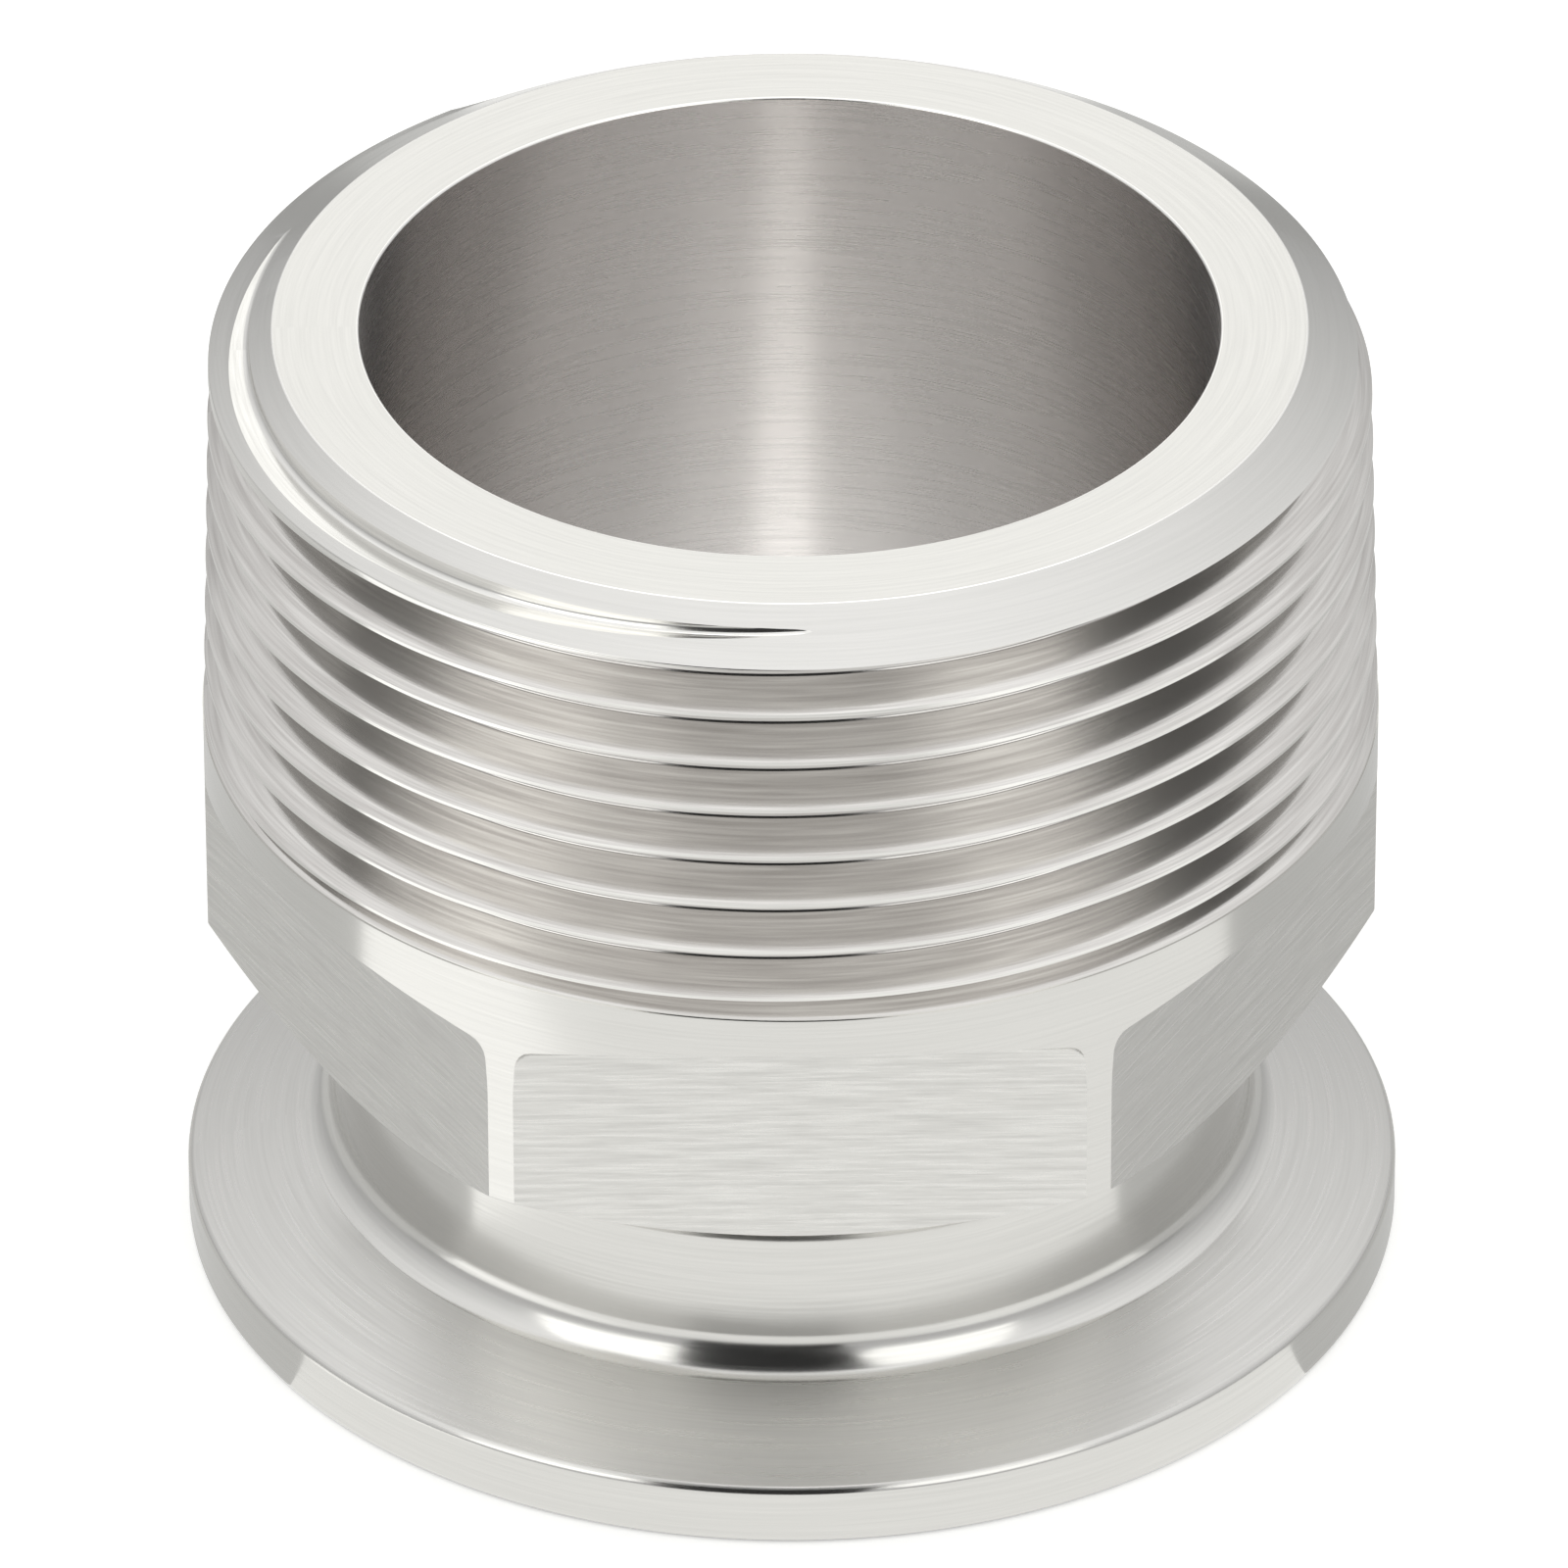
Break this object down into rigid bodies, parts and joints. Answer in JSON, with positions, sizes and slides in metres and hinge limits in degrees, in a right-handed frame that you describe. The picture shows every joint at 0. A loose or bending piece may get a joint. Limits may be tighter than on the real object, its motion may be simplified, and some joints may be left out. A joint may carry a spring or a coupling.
{
  "type": "sanitary clamp threaded adapter",
  "caption": "Turned stainless pipe adapter: a clamp ferrule with a gasket groove at one end and an external tapered pipe thread at the other, with wrench flats between and a straight bore.",
  "frame": {"origin": "centre of the bore in the ferrule's sealing face", "axes": "+Z along the bore, from the ferrule towards the threaded mouth; one wrench flat faces -Y"},
  "size_m": [0.0504, 0.0504, 0.0429],
  "materials": {
    "stainless_steel": "turned and milled, fine tool marks"
  },
  "bodies": {
    "root": {"adapter_body": "stainless_steel"}
  },
  "joints": []
}
